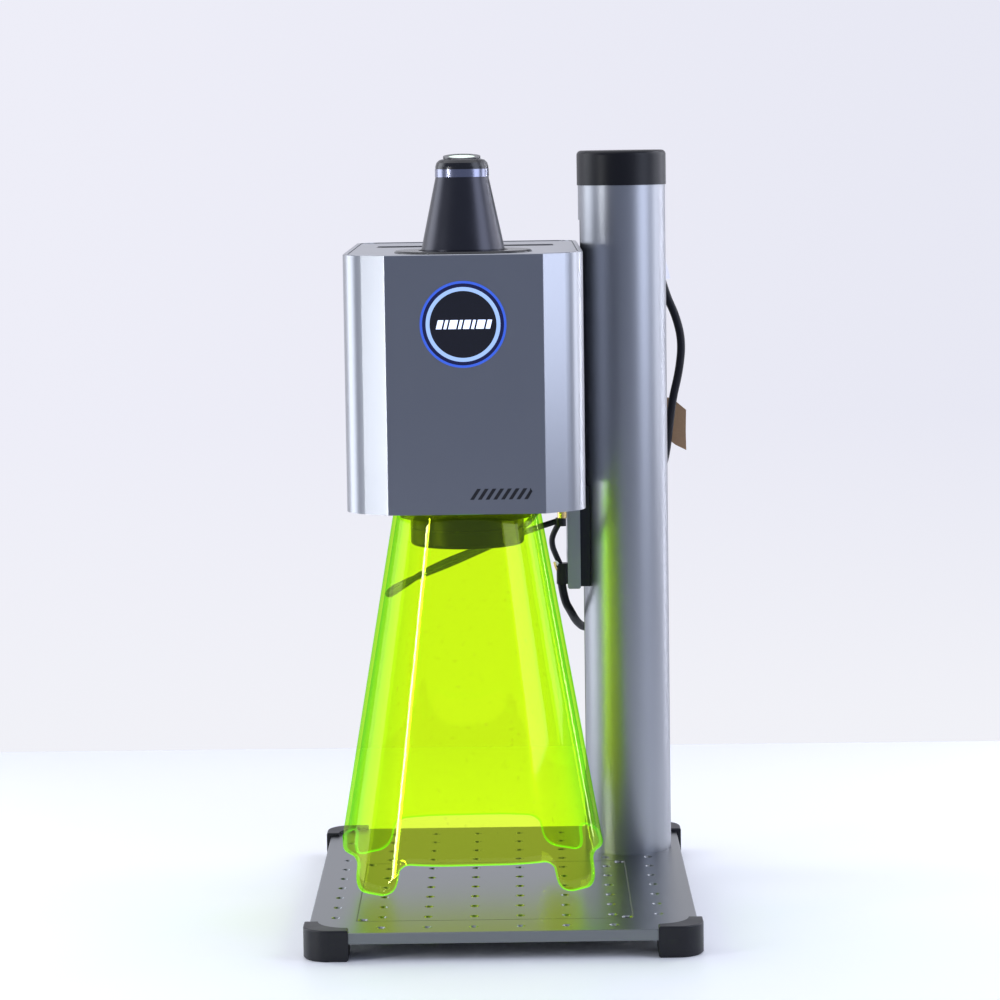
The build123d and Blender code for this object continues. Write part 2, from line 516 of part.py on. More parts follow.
# ---------------------------------------------------------------- leads
def lead(name, route, r):
    """A round lead along straight runs joined by tangent arcs."""
    points = [Vector(*p) for p in route]
    runs = [(b - a).length for a, b in zip(points, points[1:])]
    radii = []
    for k in range(1, len(points) - 1):
        turn = (points[k] - points[k - 1]).get_angle(points[k + 1] - points[k])
        radii.append(0.45 * min(runs[k - 1], runs[k]) / math.tan(math.radians(turn / 2)))
    path = FilletPolyline(*points, radius=radii)
    section = Plane(origin=path @ 0, z_dir=path % 0) * Circle(r)
    solid = sweep(section, path=path)
    ratio = solid.volume / (math.pi * r * r * path.length)
    print(name, "length", round(path.length, 1), "volume ratio", round(ratio, 4),
          "radii", [round(v, 1) for v in radii])
    parts[name] = solid


# from the socket on the column's rear, out to the right, then behind the column to its clip
UPPER_ROUTE = [(97.7, 101.5, 350), (100.5, 101.5, 340), (106, 99.5, 328), (109.4, 98, 313),
               (107.6, 97.5, 296), (103.4, 98, 279), (101.5, 101, 262), (99.5, 106, 244),
               (94.5, 111, 228), (85.8, 112.6, 214), (84.3, 113.6, 200)]
# from that clip under the column's rear and up to the coupler on the bracket
SPAN_ROUTE = [(84.3, 113.6, 200), (82.8, 114.6, 186), (79.5, 115.5, 170), (72.5, 115.5, 155),
              (61.5, 112.5, 144.5), (50.5, 104, 142), (45, 92, 148), (41.5, 79, 156),
              (37.6, 68, 164), (36, 60.5, 176)]
# from the coupler up to the boot of the plug under the head
LINK_ROUTE = [(35, 59.5, 187), (32.6, 54, 193), (30.6, 46, 199), (30.6, 38, 206), (34.2, 31.5, 212.8)]
# the slack loop: left behind the hood, round, and back under the head's rear
LOOP_ROUTE = [(33, 30, 214.8), (22, 29.5, 211.5), (8, 29, 206.5), (-9.2, 30, 200.6),
              (-27.5, 30.5, 194), (-43, 33, 186.6), (-55.5, 39.5, 177.5), (-63, 51, 171.2),
              (-66.2, 66, 169), (-64.8, 82, 169.6), (-58.6, 96, 171.6), (-47.5, 106, 174.8),
              (-32, 110.6, 180), (-14, 111.4, 187.6), (3.5, 110.2, 195.5), (17, 109.6, 204.5),
              (25.5, 110.6, 215.5), (29.2, 111, 228)]


def make_leads():
    lead("lead_upper", UPPER_ROUTE, LEAD_THICK_R)
    lead("lead_span", SPAN_ROUTE, LEAD_THICK_R)
    lead("lead_link", LINK_ROUTE, LEAD_THIN_R)
    lead("lead_loop", LOOP_ROUTE, LEAD_THIN_R)

    ring = post(36.4, 30, 216.8, 223.6, 2.7)
    parts["plug_collar"] = ring
    body = post(36.4, 30, 223.6, HEAD_BOTTOM, 3.8)
    body = chamfer(body.faces().sort_by(Axis.Z)[0].edges(), 0.8)
    boot = block(32.6, 38.6, 27, 33, 212.2, 216.8)
    boot = fillet(boot.edges().filter_by(Axis.Z), 2.2)
    gland = post(29.2, 111, 228, HEAD_BOTTOM, 3.4)
    gland = chamfer(gland.faces().sort_by(Axis.Z)[0].edges(), 1.0)
    coupler = block(33.2, 39.7, 56.2, 63.4, 175, 187)
    coupler = fillet(coupler.edges().filter_by(Axis.Z), 1.4)
    ends = [parts[f"lead_{part}"] for part in ("span", "link", "loop")]
    parts["lead_plugs"] = group(*[fitting - ends for fitting in (body, boot, gland, coupler)])
    tag_outline = Polyline((98.8, 279.6), (103.6, 278.8), (111.9, 271.8), (111.6, 259),
                           (111.8, 247.8), (105.4, 251), (99.6, 255.6), close=True)
    tag = Pos(0, 107, 0) * extrude(Plane.XZ * make_face(tag_outline), -0.5)
    tie = block(99.4, 103.6, 101, 107, 258, 261)
    parts["lead_tag"] = tag + (tie - parts["lead_upper"])

    for lead_name in ("lead_upper", "lead_span"):
        parts["lead_clip"] -= parts[lead_name]
    parts["lead_socket"] -= parts["lead_upper"]


make_base()
make_column()
make_column_fittings()
make_head(*make_carriage())
make_badge()
make_optics()
make_electronics()
make_knob()
make_hood()
make_leads()

os.makedirs("parts", exist_ok=True)
for name, shape in parts.items():
    shape.label = name
    export_step(shape, f"parts/{name}.step")
print(len(parts), "parts")
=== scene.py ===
import json
import math

import bmesh
import bpy
from mathutils import Matrix, Vector


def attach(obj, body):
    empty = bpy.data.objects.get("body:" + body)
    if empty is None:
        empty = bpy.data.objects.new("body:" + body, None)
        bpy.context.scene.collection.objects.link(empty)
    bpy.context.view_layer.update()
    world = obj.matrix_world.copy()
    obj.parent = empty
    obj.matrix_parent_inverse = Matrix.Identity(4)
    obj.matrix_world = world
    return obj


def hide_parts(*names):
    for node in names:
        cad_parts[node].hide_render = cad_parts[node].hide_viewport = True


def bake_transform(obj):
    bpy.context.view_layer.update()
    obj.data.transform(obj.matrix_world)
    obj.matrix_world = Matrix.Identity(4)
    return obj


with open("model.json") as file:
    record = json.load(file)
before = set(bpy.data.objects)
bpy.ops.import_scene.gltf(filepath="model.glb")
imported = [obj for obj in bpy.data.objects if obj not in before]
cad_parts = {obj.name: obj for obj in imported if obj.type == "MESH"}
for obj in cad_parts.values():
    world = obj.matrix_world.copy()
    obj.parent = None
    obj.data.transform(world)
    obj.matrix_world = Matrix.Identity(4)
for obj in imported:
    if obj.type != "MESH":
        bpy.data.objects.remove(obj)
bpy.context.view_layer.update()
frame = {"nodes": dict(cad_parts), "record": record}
NODES = frame["nodes"]
MM = 0.001

# ---------------------------------------------------------------- the object's main lines, mm
HEAD_X, AXIS_Y = -17.0, -50.0          # the lens, hood, knob and badge are centred on these
HEAD_FRONT = -98.0
BADGE_Z = 335.6
BADGE_RADII = (23.2, 21.9, 20.0, 17.9) # outer light ring, band, inner light ring, disc
HOOD_TOP, HOOD_BOTTOM = 232.9, 29.0
HOOD_TOP_HALF, HOOD_TOP_R = 40.0, 38.0
HOOD_BOTTOM_HALF, HOOD_BOTTOM_R = 75.0, 62.0
HOOD_WALL = 2.2
HOOD_TURN = 3.0                        # degrees, as it was last put on
ARCH_TOP, ARCH_HALF_W, ARCH_R, TAB_R = 46.4, 43.8, 8.0, 9.0
KNOB_CAP_Z = 417.8                     # the knob's glossy trim ends here
PLATE_TOP = 15.0
FRAME_SIDE, FRAME_X, FRAME_Y = 150.0, -4.5, -38.0
GROOVE_W, GROOVE_DEPTH = 0.7, 0.4
THICK_LEAD_R, THIN_LEAD_R, TAIL_R = 2.45, 1.7, 0.75

# ---------------------------------------------------------------- camera, floor and light, metres
CAMERA_AT = (0.00836, -1.9768, 0.4386)
CAMERA_PITCH, CAMERA_YAW, CAMERA_ROLL = 6.003, -0.2126, 0.8218
CAMERA_LENS, CAMERA_SENSOR = 126.67, 36.0

FRONT_TONE, REAR_TONE = (0.262, 0.295, 0.405, 1), (0.80, 0.81, 0.90, 1)
# painted shade on the wall the camera sees: lighter on the left, darker on the right, paler near its foot
WALL_LEFT, WALL_RIGHT = (0.853, 0.853, 0.938, 1), (0.805, 0.810, 0.905, 1)
WALL_FOOT = (0.880, 0.884, 0.935, 1)

TABLE_HALF_W, TABLE_FRONT, TABLE_REAR_LEFT, TABLE_REAR_RIGHT = 4.0, -0.75, 0.561, 0.454

MIDDLE = (-0.02, -0.02, 0.22)
# (name, place, aimed at, width, height, watts, colour)
SOFTBOXES = (
    ("left_front_strip", (-0.66, -0.44, 0.255), MIDDLE, 0.030, 0.40, 1.85, (0.96, 0.98, 1.0)),
    ("left_rear_box", (-0.80, 0.22, 0.42), MIDDLE, 0.45, 1.0, 3.9, (0.90, 0.94, 1.0)),
    ("right_front_box", (0.68, -0.36, 0.54), MIDDLE, 0.40, 0.7, 2.7, (0.76, 0.82, 1.0)),
    ("right_rear_box", (0.80, 0.18, 0.55), (0.0, 0.0, 0.30), 0.26, 0.8, 1.9, (0.86, 0.89, 1.0)),
    ("right_rear_strip", (0.60, 0.45, 0.42), (0.0, -0.04, 0.2), 0.035, 1.0, 1.6, (0.86, 0.88, 1.0)),
    ("overhead", (-0.20, 0.15, 1.35), (-0.1, 0, 0), 1.5, 1.3, 6.7, (0.98, 0.985, 1.0)),
)


def make_camera():
    pitch, yaw, roll = (math.radians(v) for v in (CAMERA_PITCH, CAMERA_YAW, CAMERA_ROLL))
    right = Vector((math.cos(yaw), -math.sin(yaw), 0))
    forward = Vector((math.sin(yaw) * math.cos(pitch), math.cos(yaw) * math.cos(pitch), -math.sin(pitch)))
    up = right.cross(forward)
    x_axis = right * math.cos(roll) - up * math.sin(roll)
    y_axis = right * math.sin(roll) + up * math.cos(roll)
    data = bpy.data.cameras.new("camera")
    data.lens, data.sensor_width = CAMERA_LENS, CAMERA_SENSOR
    data.clip_start, data.clip_end = 0.05, 60
    camera = bpy.data.objects.new("camera", data)
    turn = Matrix((x_axis, y_axis, -forward)).transposed().to_4x4()
    camera.matrix_world = Matrix.Translation(CAMERA_AT) @ turn
    bpy.context.scene.collection.objects.link(camera)
    bpy.context.scene.camera = camera


def softbox(name, at, aim, width, height, power, colour):
    data = bpy.data.lights.new(name, "AREA")
    data.shape, data.size, data.size_y = "RECTANGLE", width, height
    data.energy, data.color = power, colour
    lamp = bpy.data.objects.new(name, data)
    away = Vector(at) - Vector(aim)
    lamp.rotation_euler = away.to_track_quat("Z", "Y").to_euler()
    lamp.location = at
    lamp.visible_camera = False
    bpy.context.scene.collection.objects.link(lamp)


def add(tree, kind, inputs=None, **settings):
    """A new shader node with its own settings and the values of its inputs."""
    node = tree.nodes.new("ShaderNode" + kind)
    for name, value in settings.items():
        setattr(node, name, value)
    for socket, value in (inputs or {}).items():
        node.inputs[socket].default_value = value
    return node


def make_world():
    """Dim in front and pale behind; what the camera sees is a pale wall with painted shade: darker to the
    right, and paler low down next to the table.
    """
    world = bpy.data.worlds.new("studio")
    bpy.context.scene.world = world
    world.use_nodes = True
    tree = world.node_tree
    tree.nodes.clear()
    link = tree.links.new
    split = add(tree, "SeparateXYZ")
    ramp = add(tree, "MapRange", {"From Min": -0.1, "From Max": 0.75}, interpolation_type="SMOOTHSTEP")
    tone = add(tree, "Mix", {"A": FRONT_TONE, "B": REAR_TONE}, data_type="RGBA")
    across = add(tree, "MapRange", {"From Min": -0.13, "From Max": 0.13})
    sides = add(tree, "Mix", {"A": WALL_LEFT, "B": WALL_RIGHT}, data_type="RGBA")
    down = add(tree, "MapRange", {"From Min": -0.08, "From Max": -0.165})
    wall = add(tree, "Mix", {"B": WALL_FOOT}, data_type="RGBA")
    seen = add(tree, "Mix", data_type="RGBA")
    back = add(tree, "Background")
    link(add(tree, "TexCoord").outputs["Generated"], split.inputs[0])
    link(split.outputs["Y"], ramp.inputs["Value"])
    link(ramp.outputs["Result"], tone.inputs["Factor"])
    link(tone.outputs["Result"], seen.inputs["A"])
    link(split.outputs["X"], across.inputs["Value"])
    link(across.outputs["Result"], sides.inputs["Factor"])
    link(sides.outputs["Result"], wall.inputs["A"])
    link(split.outputs["Z"], down.inputs["Value"])
    link(down.outputs["Result"], wall.inputs["Factor"])
    link(wall.outputs["Result"], seen.inputs["B"])
    link(add(tree, "LightPath").outputs["Is Camera Ray"], seen.inputs["Factor"])
    link(seen.outputs["Result"], back.inputs["Color"])
    link(back.outputs[0], add(tree, "OutputWorld").inputs["Surface"])


def make_floor():
    """A pale table, which ends a little behind the object."""
    mesh = bpy.data.meshes.new("floor")
    corners = [(-TABLE_HALF_W, TABLE_FRONT, 0), (TABLE_HALF_W, TABLE_FRONT, 0),
               (TABLE_HALF_W, TABLE_REAR_RIGHT, 0), (-TABLE_HALF_W, TABLE_REAR_LEFT, 0)]
    mesh.from_pydata(corners, [], [(0, 1, 2, 3)])
    floor = bpy.data.objects.new("floor", mesh)
    bpy.context.scene.collection.objects.link(floor)
    mesh.materials.append(surface("table_white", (0.93, 0.935, 0.945), 0.45,
                                  mottle=(6, 0.01), grain=(900, 0.00002)))


# ---------------------------------------------------------------- materials
def surface(name, colour, rough, metal=0.0, mottle=(40, 0.06), grain=(1400, 0.000004), spread=0.05,
            coat=0.0, emission=None, strength=0.0, specular=0.5, layers=None):
    """A finish with slow colour variation, fine roughness variation and a fine bump."""
    mat = bpy.data.materials.new(name)
    mat.use_nodes = True
    tree = mat.node_tree
    link = tree.links.new
    bsdf = tree.nodes["Principled BSDF"]
    darker, lighter = ([min(1, c * (1 + sign * mottle[1])) for c in colour] for sign in (-1, 1))
    coord = add(tree, "TexCoord").outputs["Object"]
    slow = add(tree, "TexNoise", {"Scale": mottle[0], "Detail": 4})
    fine = add(tree, "TexNoise", {"Scale": grain[0], "Detail": 2})
    mix = add(tree, "Mix", {"A": (*darker, 1), "B": (*lighter, 1)}, data_type="RGBA")
    band = add(tree, "MapRange", {"To Min": max(0.02, rough - spread), "To Max": rough + spread})
    bump = add(tree, "Bump", {"Distance": grain[1], "Strength": 0.6})
    link(coord, slow.inputs["Vector"])
    link(coord, fine.inputs["Vector"])
    link(slow.outputs["Fac"], mix.inputs["Factor"])
    link(mix.outputs["Result"], bsdf.inputs["Base Color"])
    link(slow.outputs["Fac"], band.inputs["Value"])
    link(band.outputs["Result"], bsdf.inputs["Roughness"])
    link(fine.outputs["Fac"], bump.inputs["Height"])
    link(bump.outputs["Normal"], bsdf.inputs["Normal"])
    if layers:
        squash = add(tree, "VectorMath", {1: (0.04, 0.04, 1)}, operation="MULTIPLY")
        lines = add(tree, "TexNoise", {"Scale": layers[0]})
        ridge = add(tree, "Bump", {"Distance": layers[1]})
        link(coord, squash.inputs[0])
        link(squash.outputs[0], lines.inputs["Vector"])
        link(lines.outputs["Fac"], ridge.inputs["Height"])
        link(ridge.outputs["Normal"], bump.inputs["Normal"])
    bsdf.inputs["Metallic"].default_value = metal
    bsdf.inputs["Coat Weight"].default_value = coat
    bsdf.inputs["Coat Roughness"].default_value = 0.06
    bsdf.inputs["Specular IOR Level"].default_value = specular
    if emission:
        bsdf.inputs["Emission Color"].default_value = (*emission, 1)
        bsdf.inputs["Emission Strength"].default_value = strength
    return mat


def acrylic(name, tint, edge_tint, glow, strength):
    """Clear tinted sheet: tinted pass-through, dust, a mirror gloss that grows at grazing angles, and a
    painted glow, an emission that makes the sheet shine by itself.
    """
    mat = bpy.data.materials.new(name)
    mat.use_nodes = True
    tree = mat.node_tree
    tree.nodes.clear()
    link = tree.links.new
    coord = add(tree, "TexCoord").outputs["Object"]
    facing = add(tree, "LayerWeight", {"Blend": 0.5}).outputs["Facing"]

    deep = add(tree, "Math", {1: 2.2}, operation="POWER")
    tone = add(tree, "Mix", {"A": (*tint, 1), "B": (*edge_tint, 1)}, data_type="RGBA")
    clear = add(tree, "BsdfTransparent")
    # painted glow: emission that lets the sheet shine by itself
    painted_glow = add(tree, "Emission", {"Color": (*glow, 1), "Strength": strength})
    body = add(tree, "AddShader")
    link(facing, deep.inputs[0])
    link(deep.outputs[0], tone.inputs["Factor"])
    link(tone.outputs["Result"], clear.inputs["Color"])
    link(clear.outputs[0], body.inputs[0])
    link(painted_glow.outputs[0], body.inputs[1])

    specks = add(tree, "TexNoise", {"Scale": 260, "Detail": 5})
    sparse = add(tree, "MapRange", {"From Min": 0.66, "From Max": 0.80, "To Min": 0.004, "To Max": 0.16})
    dust = add(tree, "BsdfDiffuse", {"Color": (0.62, 0.86, 0.06, 1)})
    dusty = add(tree, "MixShader")
    link(coord, specks.inputs["Vector"])
    link(specks.outputs["Fac"], sparse.inputs["Value"])
    link(sparse.outputs["Result"], dusty.inputs[0])
    link(body.outputs[0], dusty.inputs[1])
    link(dust.outputs[0], dusty.inputs[2])

    wave = add(tree, "TexNoise", {"Scale": 16})
    bump = add(tree, "Bump", {"Distance": 0.0006, "Strength": 0.35})
    gloss = add(tree, "BsdfGlossy", {"Roughness": 0.045, "Color": (0.90, 1.0, 0.38, 1)})
    rise = add(tree, "Math", {1: 5.0}, operation="POWER")
    share = add(tree, "Math", {1: 0.17, 2: 0.045}, operation="MULTIPLY_ADD")
    whole = add(tree, "MixShader")
    link(coord, wave.inputs["Vector"])
    link(wave.outputs["Fac"], bump.inputs["Height"])
    link(bump.outputs["Normal"], gloss.inputs["Normal"])
    link(facing, rise.inputs[0])
    link(rise.outputs[0], share.inputs[0])
    link(share.outputs[0], whole.inputs[0])
    link(dusty.outputs[0], whole.inputs[1])
    link(gloss.outputs[0], whole.inputs[2])
    link(whole.outputs[0], add(tree, "OutputMaterial").inputs["Surface"])
    return mat


def colour_rings(mat, socket, radii, colours):
    """Recolours a material's socket by distance from the badge's axis, which runs along Y."""
    tree = mat.node_tree
    link = tree.links.new
    shift = add(tree, "VectorMath", {1: (HEAD_X * MM, 0, BADGE_Z * MM)}, operation="SUBTRACT")
    flat = add(tree, "VectorMath", {1: (1, 0, 1)}, operation="MULTIPLY")
    length = add(tree, "VectorMath", operation="LENGTH")
    scale = add(tree, "Math", {1: radii[-1] * MM}, operation="DIVIDE")
    ramp = add(tree, "ValToRGB")
    ramp.color_ramp.interpolation = "CONSTANT"
    stops = ramp.color_ramp.elements
    for stop, radius, colour in zip(stops, (0, radii[0]), colours):
        stop.position, stop.color = radius / radii[-1], (*colour, 1)
    link(add(tree, "TexCoord").outputs["Object"], shift.inputs[0])
    link(shift.outputs[0], flat.inputs[0])
    link(flat.outputs[0], length.inputs[0])
    link(length.outputs["Value"], scale.inputs[0])
    link(scale.outputs[0], ramp.inputs["Fac"])
    link(ramp.outputs["Color"], tree.nodes["Principled BSDF"].inputs[socket])


# mottle is (features per metre, share of the colour), grain is (features per metre, height in metres)
FINISHES = {
    "anodised_slate": dict(colour=(0.33, 0.34, 0.365), rough=0.30, metal=1.0,
        mottle=(9, 0.03), grain=(2600, 0.000006), spread=0.02),
    "anodised_dark": dict(colour=(0.030, 0.031, 0.035), rough=0.34, metal=1.0,
        mottle=(30, 0.08), grain=(2200, 0.000006)),
    "bare_aluminium": dict(colour=(0.78, 0.79, 0.80), rough=0.30, metal=1.0,
        mottle=(120, 0.05), grain=(1500, 0.000005)),
    "black_plastic": dict(colour=(0.006, 0.006, 0.0085), rough=0.40,
        mottle=(60, 0.2), grain=(1800, 0.00002), spread=0.06,
        specular=0.28),
    "black_gloss": dict(colour=(0.008, 0.008, 0.011), rough=0.26,
        mottle=(50, 0.2), grain=(900, 0.000002), spread=0.03),
    "feet_rubber": dict(colour=(0.012, 0.012, 0.015), rough=0.42,
        mottle=(90, 0.25), grain=(1300, 0.00003), spread=0.08,
        specular=0.3, layers=(1400, 0.00006)),
    "steel": dict(colour=(0.62, 0.62, 0.64), rough=0.22, metal=1.0,
        mottle=(200, 0.05), grain=(900, 0.000003)),
    "black_steel": dict(colour=(0.03, 0.03, 0.034), rough=0.35, metal=0.6,
        mottle=(90, 0.15), grain=(1300, 0.00001)),
    "brass": dict(colour=(0.82, 0.60, 0.24), rough=0.26, metal=1.0,
        mottle=(150, 0.08), grain=(1200, 0.000005)),
    "lens_glass": dict(colour=(0.05, 0.10, 0.09), rough=0.05,
        mottle=(30, 0.1), grain=(400, 0.0000005), spread=0.02,
        coat=1.0),
    "mirror": dict(colour=(0.85, 0.78, 0.62), rough=0.05, metal=1.0,
        mottle=(60, 0.04), grain=(400, 0.0000003), spread=0.02),
    "board_green": dict(colour=(0.02, 0.16, 0.06), rough=0.32,
        mottle=(500, 0.35), grain=(700, 0.00003)),
    "white_plastic": dict(colour=(0.80, 0.86, 0.78), rough=0.30,
        mottle=(80, 0.04), grain=(900, 0.00001),
        emission=(0.72, 1.0, 0.70), strength=0.35),
    "light_ring": dict(colour=(0.03, 0.06, 0.20), rough=0.30,
        mottle=(60, 0.05), grain=(500, 0.000005),
        emission=(0.10, 0.42, 1.0), strength=0.9),
    "badge_black": dict(colour=(0.006, 0.008, 0.02), rough=0.10,
        mottle=(40, 0.2), grain=(500, 0.000002), spread=0.02,
        coat=0.5),
    "lead_black": dict(colour=(0.006, 0.006, 0.010), rough=0.48,
        mottle=(300, 0.3), grain=(1500, 0.00004), spread=0.08,
        specular=0.22),
    "kraft": dict(colour=(0.30, 0.185, 0.10), rough=0.80,
        mottle=(700, 0.16), grain=(1500, 0.00006), spread=0.08),
    "pale_plastic": dict(colour=(0.74, 0.74, 0.79), rough=0.45,
        mottle=(120, 0.04), grain=(1200, 0.00001)),
    "column_slate": dict(colour=(0.33, 0.34, 0.365), rough=0.38, metal=1.0,
        mottle=(9, 0.03), grain=(2600, 0.000006), spread=0.02),
    "plate_slate": dict(colour=(0.190, 0.200, 0.207), rough=0.29, metal=1.0,
        mottle=(9, 0.04), grain=(2600, 0.000006), spread=0.02),
    "trim_slate": dict(colour=(0.24, 0.25, 0.33), rough=0.24, metal=1.0,
        mottle=(60, 0.05), grain=(1500, 0.000004), spread=0.03),
    "knob_satin": dict(colour=(0.060, 0.060, 0.070), rough=0.34, metal=1.0,
        mottle=(70, 0.1), grain=(1800, 0.00001), spread=0.04),
    "lens_black": dict(colour=(0.006, 0.006, 0.007), rough=0.34,
        mottle=(70, 0.1), grain=(1500, 0.000008), spread=0.04,
        specular=0.3),
    # painted highlight: a matt grey for the strip in the plate's groove, in place of the light that the
    # groove's wall catches
    "groove_glint_paint": dict(colour=(0.125, 0.13, 0.115), rough=0.60,
        mottle=(900, 0.12), grain=(3000, 0.00002), spread=0.1),
    "ink": dict(colour=(0.010, 0.010, 0.012), rough=0.38,
        mottle=(400, 0.3), grain=(1500, 0.000006), spread=0.06),
    "glyph_light": dict(colour=(0.7, 0.8, 1.0), rough=0.3,
        mottle=(90, 0.03), grain=(500, 0.000002),
        emission=(0.62, 0.70, 1.0), strength=1.15),
}
# glow and strength are a painted glow: the sheet shines by itself, faintly on its walls and strongly on its
# edges
ACRYLICS = {
    "hood_outer": dict(tint=(0.935, 1.03, 0.24), edge_tint=(0.42, 0.88, 0.04),
        glow=(0.35, 1.0, 0.02), strength=0.003),
    "hood_inner": dict(tint=(0.935, 1.03, 0.24), edge_tint=(0.42, 0.88, 0.04),
        glow=(0.30, 1.0, 0.02), strength=0.004),
    "hood_edge": dict(tint=(0.62, 0.96, 0.10), edge_tint=(0.40, 0.80, 0.05),
        glow=(0.30, 1.0, 0.08), strength=0.40),
}
RING_INNER, RING_OUTER = (0.42, 0.62, 1.0), (0.03, 0.10, 0.72)
FACE_MIDDLE, FACE_BETWEEN_RINGS = (0.003, 0.003, 0.008), (0.003, 0.006, 0.075)
# nodes whose finish differs a little from the other nodes of their slot
OWN_FINISH = {"base_plate": "plate_slate", "column_tube": "column_slate", "knob_cone": "knob_satin",
              "lens_mount": "lens_black", "lens_barrel": "lens_black"}


def make_materials():
    m = {name: surface(name, **finish) for name, finish in FINISHES.items()}
    m.update({name: acrylic(name, **sheet) for name, sheet in ACRYLICS.items()})
    outer, _, inner, disc = BADGE_RADII
    colour_rings(m["light_ring"], "Emission Color", (inner + 0.5, outer + 1), (RING_INNER, RING_OUTER))
    colour_rings(m["badge_black"], "Base Color", (disc + 0.5, outer), (FACE_MIDDLE, FACE_BETWEEN_RINGS))
    return m


# ---------------------------------------------------------------- mesh helpers
def piece(name, bm, materials, body, smooth=True, sharp=35.0):
    """Turns a bmesh in millimetres into an object that rides on a body."""
    mesh = bpy.data.meshes.new(name)
    bmesh.ops.scale(bm, vec=(MM, MM, MM), verts=bm.verts)
    bmesh.ops.recalc_face_normals(bm, faces=bm.faces)
    bm.to_mesh(mesh)
    bm.free()
    obj = bpy.data.objects.new(name, mesh)
    bpy.context.scene.collection.objects.link(obj)
    for mat in materials:
        mesh.materials.append(mat)
    if smooth:
        mesh.polygons.foreach_set("use_smooth", [True] * len(mesh.polygons))
        mesh.set_sharp_from_angle(angle=math.radians(sharp))
    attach(obj, body)
    return obj


def bridge(bm, first, second, material=0):
    """Faces between two closed loops with the same number of corners."""
    count = len(first)
    for k in range(count):
        n = (k + 1) % count
        bm.faces.new((first[k], first[n], second[n], second[k])).material_index = material


def prism(bm, outline, front, back):
    """A plate whose outline lies in XZ, from y = front to y = back."""
    face = bm.faces.new([bm.verts.new((x, front, z)) for x, z in outline])
    grown = bmesh.ops.extrude_face_region(bm, geom=[face])
    moved = [v for v in grown["geom"] if isinstance(v, bmesh.types.BMVert)]
    bmesh.ops.translate(bm, verts=moved, vec=(0, back - front, 0))


def slanted(x, z, width, height, lean):
    """A bar's four corners: x, z is its lower left corner, lean is how far its top goes right."""
    return [(x, z), (x + width, z), (x + width + lean, z + height), (x + lean, z + height)]


# ---------------------------------------------------------------- hood
def hood_size(z):
    share = (HOOD_TOP - z) / (HOOD_TOP - HOOD_BOTTOM)
    return (HOOD_TOP_HALF + (HOOD_BOTTOM_HALF - HOOD_TOP_HALF) * share,
            HOOD_TOP_R + (HOOD_BOTTOM_R - HOOD_TOP_R) * share)


def arch_height(x):
    """The hood's lower edge over the distance x from the middle of a side."""
    inner = ARCH_HALF_W - ARCH_R
    if x <= inner:
        return ARCH_TOP
    if x <= ARCH_HALF_W:
        return ARCH_TOP - ARCH_R + math.sqrt(max(0, ARCH_R ** 2 - (x - inner) ** 2))
    if x < ARCH_HALF_W + TAB_R:
        return HOOD_BOTTOM + TAB_R - math.sqrt(max(0, TAB_R ** 2 - (ARCH_HALF_W + TAB_R - x) ** 2))
    return HOOD_BOTTOM


CORNER_STEPS, CORNER_STEP = 16, 3.0    # columns round half a corner, degrees
ARCH_STEPS, ARCH_STEP = 7, 15.0        # columns round an arch's end
TAB_STEPS, TAB_STEP = 8, 12.9          # columns round a tab's end
CLOSEST = 0.25                         # columns nearer than this, in degrees, are merged
SETTLE = 12                            # rounds that find where a slanted column meets the edge


def half_side_columns():
    """Columns from a side's middle to its corner: (share of the flat, angle, lower end)."""
    columns = [(share, 0.0, ARCH_TOP) for share in (0.0, 0.5)]
    marks = {}
    for k in range(CORNER_STEPS):
        angle, z = math.radians(CORNER_STEP * k), ARCH_TOP
        for _ in range(SETTLE):
            half, radius = hood_size(z)
            z = arch_height(half - radius + radius * math.sin(angle))
        marks[angle] = z
    arch_turns = (math.radians(ARCH_STEP * k) for k in range(ARCH_STEPS))
    tab_turns = (math.radians(TAB_STEP * k) for k in range(TAB_STEPS))
    turns = [(ARCH_HALF_W - ARCH_R + ARCH_R * math.sin(a), ARCH_TOP - ARCH_R + ARCH_R * math.cos(a))
             for a in arch_turns]
    turns += [(ARCH_HALF_W + TAB_R - TAB_R * math.cos(a), HOOD_BOTTOM + TAB_R - TAB_R * math.sin(a))
              for a in tab_turns]
    for x, z in turns:
        half, radius = hood_size(z)
        marks[math.asin((x - half + radius) / radius)] = z
    kept = []
    for angle in sorted(marks):
        if not kept or angle - kept[-1] >= math.radians(CLOSEST):
            kept.append(angle)
    return columns + [(1.0, angle, marks[angle]) for angle in kept]


def hood_ring_columns():
    """All columns in order round the hood, as (turn of the side, sign, share, angle, lower end).
    Two sides share the column at the corner between them."""
    half = half_side_columns()
    around = []
    for side in range(4):
        around += [(side, -1, *c) for c in reversed(half[1:])]
        around += [(side, 1, *c) for c in half[:-1]]
    return around


def hood_point(side, sign, share, angle, z, inset):
    half, radius = hood_size(z)
    flat = half - radius
    x = sign * (flat * share + (radius - inset) * math.sin(angle))
    y = -(flat + (radius - inset) * math.cos(angle))
    turn = math.radians(90 * side + HOOD_TURN)
    return (HEAD_X + x * math.cos(turn) - y * math.sin(turn),
            AXIS_Y + x * math.sin(turn) + y * math.cos(turn), z)


HOOD_ROWS = 30
HOOD_LIP, HOOD_TOP_EDGE = 0.75, 0.5    # roundings of the lower and upper edges
HOOD_RIM = ((0.15, 0.0345), (0.5, 0.0), (0.85, 0.0345))    # (share of the wall, height over the edge)


